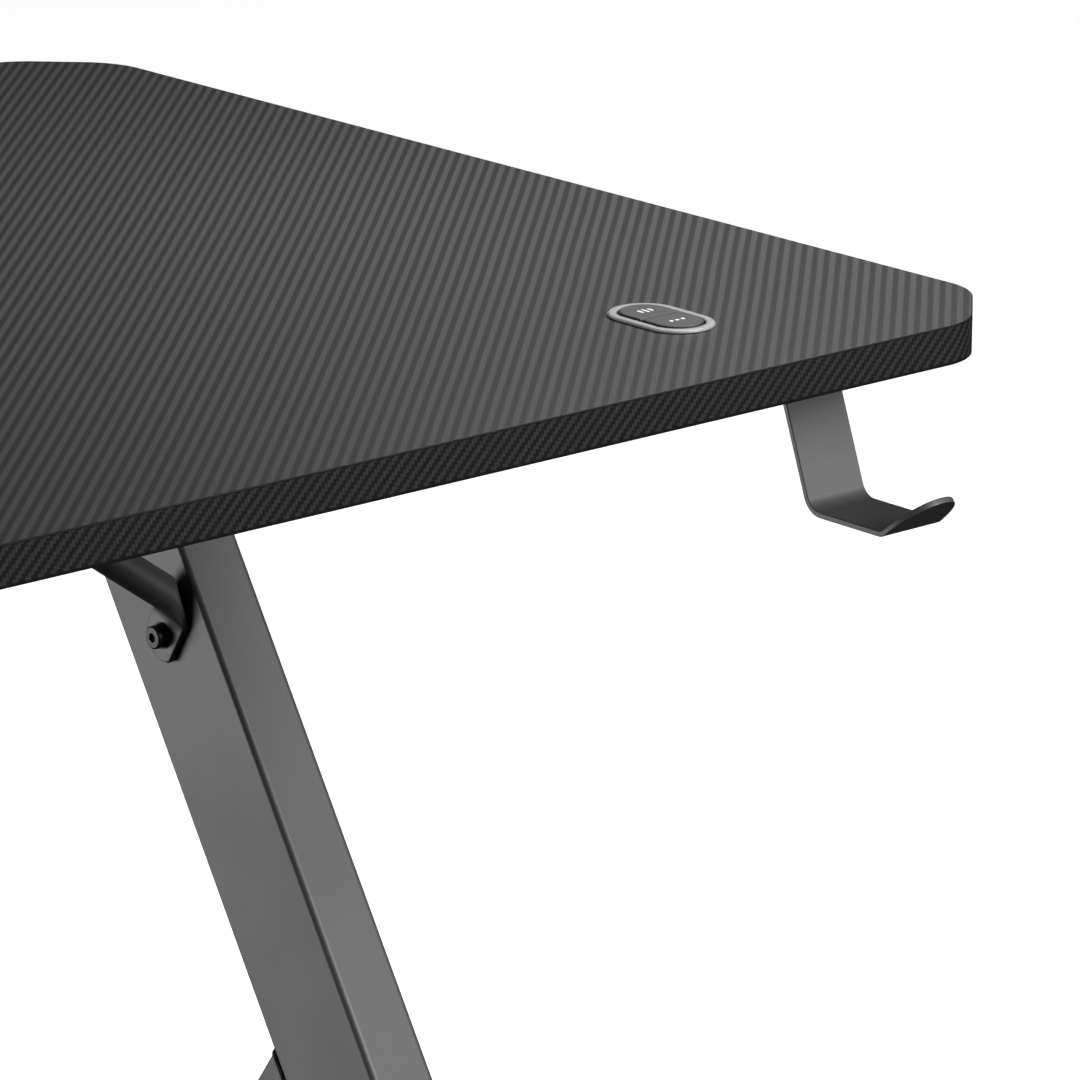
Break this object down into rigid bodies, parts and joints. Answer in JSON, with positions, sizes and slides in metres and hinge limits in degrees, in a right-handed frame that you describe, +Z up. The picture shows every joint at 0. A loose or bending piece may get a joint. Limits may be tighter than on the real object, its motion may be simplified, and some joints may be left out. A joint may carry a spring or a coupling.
{
  "type": "corner desk",
  "caption": "L-shaped corner desk with carbon-weave boards on three lambda-shaped tube frames, a headphone hook and a two-key light control set in the top.",
  "frame": {"origin": "on the floor, under the middle of the desk's plan box", "axes": "+X along the long wing to its right end, +Y from the user towards the wall behind the long wing, +Z up"},
  "size_m": [1.52, 1.11, 0.752],
  "materials": {
    "carbon_laminate": "satin laminate printed with a coarse diagonal carbon weave on top and a fine 2x2 twill on the edge band",
    "black_powder": "fine satin black powder coat on steel",
    "black_steel": "black oxide",
    "black_plastic": "finely textured black",
    "silver_rim": "satin silver paint",
    "grey_key": "matt grey, moulded",
    "circuit_board": "green solder mask",
    "diffuser": "milky translucent"
  },
  "bodies": {
    "root": {"beam_main": "black_powder", "beam_return": "black_powder", "control_bezel": "silver_rim", "control_housing": "black_plastic", "control_power_inlet": "black_plastic", "control_switch_board": "circuit_board", "headphone_hook": "black_powder", "hook_screw_1": "black_steel", "hook_screw_2": "black_steel", "left_brace": "black_powder", "left_brace_flat_washer": "black_steel", "left_brace_high_screw": "black_steel", "left_brace_low_screw": "black_steel", "left_brace_spring_washer": "black_steel", "left_foot_bar": "black_powder", "left_foot_cap_front": "black_plastic", "left_foot_cap_rear": "black_plastic", "left_main_tube": "black_powder", "left_strut": "black_powder", "left_top_bar": "black_powder", "light_strip_main": "diffuser", "light_strip_return": "diffuser", "return_brace": "black_powder", "return_brace_flat_washer": "black_steel", "return_brace_high_screw": "black_steel", "return_brace_low_screw": "black_steel", "return_brace_spring_washer": "black_steel", "return_foot_bar": "black_powder", "return_foot_cap_front": "black_plastic", "return_foot_cap_rear": "black_plastic", "return_main_tube": "black_powder", "return_strut": "black_powder", "return_top_bar": "black_powder", "right_brace": "black_powder", "right_brace_flat_washer": "black_steel", "right_brace_high_screw": "black_steel", "right_brace_low_screw": "black_steel", "right_brace_spring_washer": "black_steel", "right_foot_bar": "black_powder", "right_foot_cap_front": "black_plastic", "right_foot_cap_rear": "black_plastic", "right_main_tube": "black_powder", "right_strut": "black_powder", "right_top_bar": "black_powder", "seam_plate_main": "black_powder", "seam_plate_return": "black_powder", "top_board_corner": "carbon_laminate", "top_board_return": "carbon_laminate", "top_board_right": "carbon_laminate"},
    "mode_button": {"mode_button": "grey_key"},
    "colour_button": {"colour_button": "grey_key"},
    "left_leveler_front": {"left_leveler_front": "black_plastic"},
    "left_leveler_rear": {"left_leveler_rear": "black_plastic"},
    "return_leveler_front": {"return_leveler_front": "black_plastic"},
    "return_leveler_rear": {"return_leveler_rear": "black_plastic"},
    "right_leveler_front": {"right_leveler_front": "black_plastic"},
    "right_leveler_rear": {"right_leveler_rear": "black_plastic"}
  },
  "joints": [
    {"name": "mode_press", "type": "slide", "parent": "root", "child": "mode_button", "axis": [0, 0, -1], "range_m": [0, 0.0008], "stiffness_N_per_m": 600, "springref_m": -0.001},
    {"name": "colour_press", "type": "slide", "parent": "root", "child": "colour_button", "axis": [0, 0, -1], "range_m": [0, 0.0008], "stiffness_N_per_m": 600, "springref_m": -0.001},
    {"name": "left_leveler_front_height", "type": "slide", "parent": "root", "child": "left_leveler_front", "axis": [0, 0, -1], "range_m": [0, 0.01]},
    {"name": "left_leveler_rear_height", "type": "slide", "parent": "root", "child": "left_leveler_rear", "axis": [0, 0, -1], "range_m": [0, 0.01]},
    {"name": "return_leveler_front_height", "type": "slide", "parent": "root", "child": "return_leveler_front", "axis": [0, 0, -1], "range_m": [0, 0.01]},
    {"name": "return_leveler_rear_height", "type": "slide", "parent": "root", "child": "return_leveler_rear", "axis": [0, 0, -1], "range_m": [0, 0.01]},
    {"name": "right_leveler_front_height", "type": "slide", "parent": "root", "child": "right_leveler_front", "axis": [0, 0, -1], "range_m": [0, 0.01]},
    {"name": "right_leveler_rear_height", "type": "slide", "parent": "root", "child": "right_leveler_rear", "axis": [0, 0, -1], "range_m": [0, 0.01]}
  ]
}
